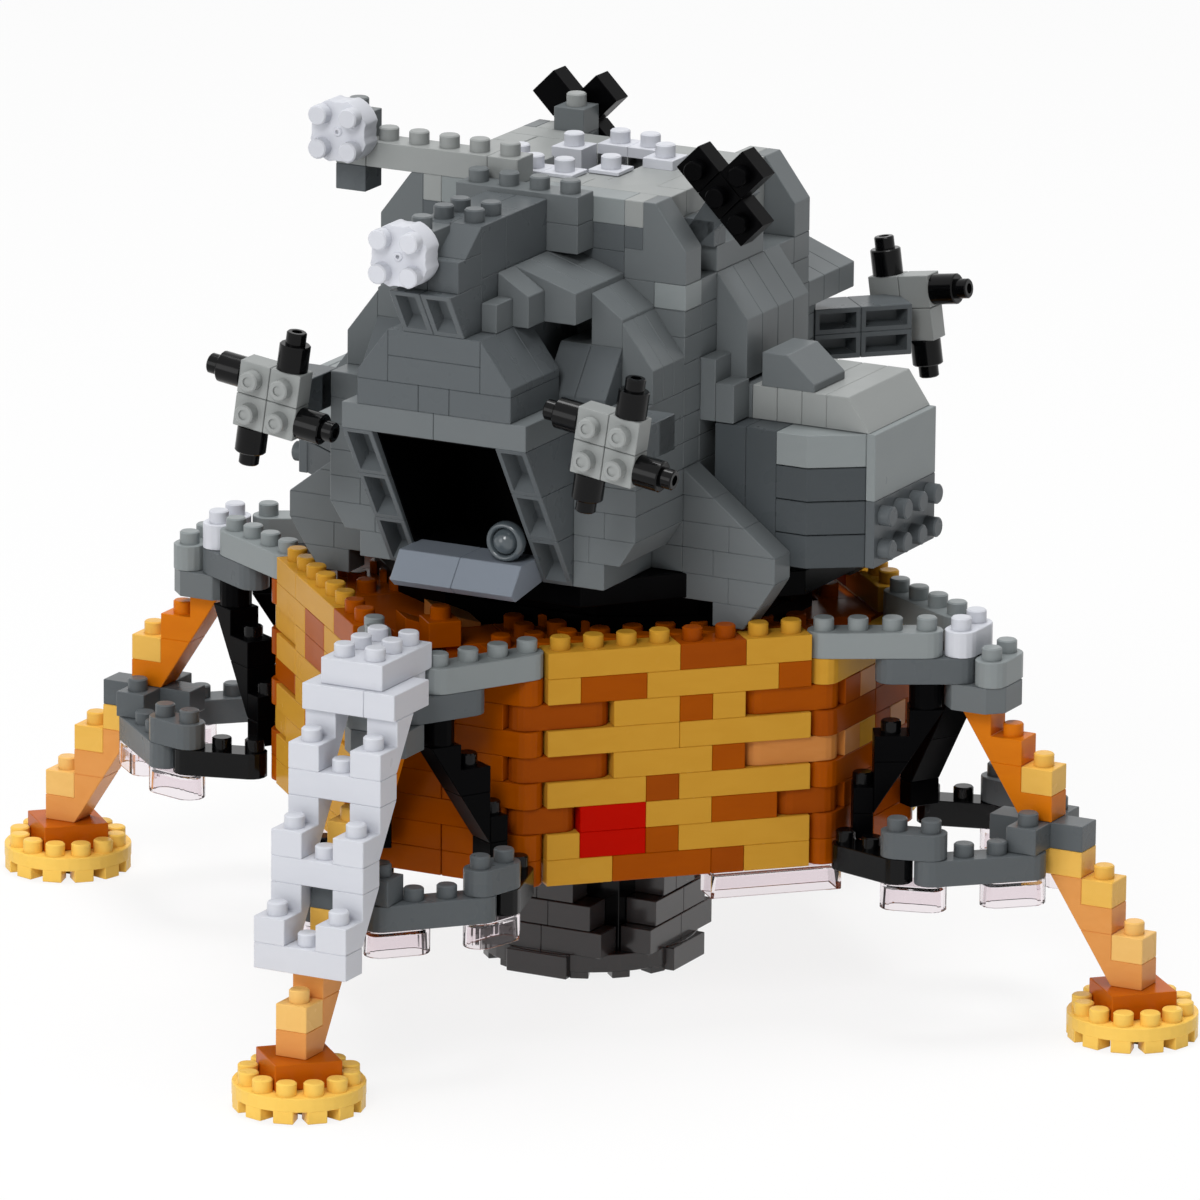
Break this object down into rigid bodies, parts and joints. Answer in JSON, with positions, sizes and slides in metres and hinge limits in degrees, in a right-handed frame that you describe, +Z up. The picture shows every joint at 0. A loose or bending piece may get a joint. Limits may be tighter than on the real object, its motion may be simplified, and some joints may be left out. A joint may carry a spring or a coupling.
{
  "type": "micro-brick toy model of a lunar lander",
  "caption": "Desk-size lunar lander toy built from micro bricks: gold descent stage on four legs, grey cabin on top, dishes and aerials that turn.",
  "frame": {"origin": "on the floor under the middle of the descent stage", "axes": "+Z up, +X to the right along the front wall of the descent stage, +Y to the back; the ladder leg points to -X -Y"},
  "size_m": [0.1162, 0.1162, 0.1045],
  "materials": {
    "gold": "gloss",
    "amber": "gloss",
    "orange": "gloss",
    "light_grey": "gloss",
    "mid_grey": "gloss",
    "black": "gloss",
    "white": "gloss",
    "clear": "gloss"
  },
  "bodies": {
    "lander": {"aerial_bracket": "light_grey", "aerial_post": "light_grey", "ascent_base": "black", "braces_back_left": "black", "braces_back_right": "black", "braces_front_left": "black", "braces_front_right": "black", "cabin_core": "mid_grey", "cabin_nose": "mid_grey", "clear_bricks": "clear", "corner_back_left": "amber", "corner_back_right": "amber", "corner_front_left": "amber", "corner_front_right": "amber", "deck": "amber", "dish_boom": "light_grey", "docking_collar": "white", "foot_back_left": "gold", "foot_back_right": "gold", "foot_front_left": "gold", "foot_front_right": "gold", "hatch_ball": "mid_grey", "hatch_front": "mid_grey", "ladder": "white", "leg_back_left": "orange", "leg_back_right": "orange", "leg_front_left": "orange", "leg_front_right": "orange", "nozzle": "black", "nozzle_mouth": "black", "outrigger_back_left": "light_grey", "outrigger_back_right": "light_grey", "outrigger_front_left": "light_grey", "outrigger_front_right": "light_grey", "porch": "light_grey", "roof_front": "mid_grey", "skirts": "mid_grey", "struts_back_left": "mid_grey", "struts_back_right": "mid_grey", "struts_front_left": "mid_grey", "struts_front_right": "mid_grey", "tank_left": "mid_grey", "tank_plate_left": "light_grey", "tank_plate_right": "light_grey", "tank_right": "mid_grey", "thrusters_back_left": "light_grey", "thrusters_back_right": "light_grey", "thrusters_front_left": "light_grey", "thrusters_front_right": "light_grey", "tower": "mid_grey", "wall_back": "gold", "wall_front": "gold", "wall_left": "gold", "wall_right": "gold"},
    "dish_upper": {"dish_upper": "white"},
    "dish_lower": {"dish_lower": "white"},
    "aerial_front": {"aerial_front": "black"},
    "aerial_rear": {"aerial_rear": "black"}
  },
  "joints": [
    {"name": "dish_upper_turn", "type": "hinge", "parent": "lander", "child": "dish_upper", "pos_m": [-0.02828, 0.00566, 0.10063], "axis": [-0.7071, -0.7071, 0], "continuous": true},
    {"name": "dish_lower_turn", "type": "hinge", "parent": "lander", "child": "dish_lower", "pos_m": [-0.03103, -0.02837, 0.09377], "axis": [-0.7071, -0.7071, 0], "continuous": true},
    {"name": "aerial_front_turn", "type": "hinge", "parent": "lander", "child": "aerial_front", "pos_m": [0.00948, -0.02192, 0.09688], "axis": [-0.7071, -0.7071, 0], "continuous": true},
    {"name": "aerial_rear_turn", "type": "hinge", "parent": "lander", "child": "aerial_rear", "pos_m": [0.00325, 0.01937, 0.09656], "axis": [-0.7071, -0.7071, 0], "continuous": true}
  ]
}
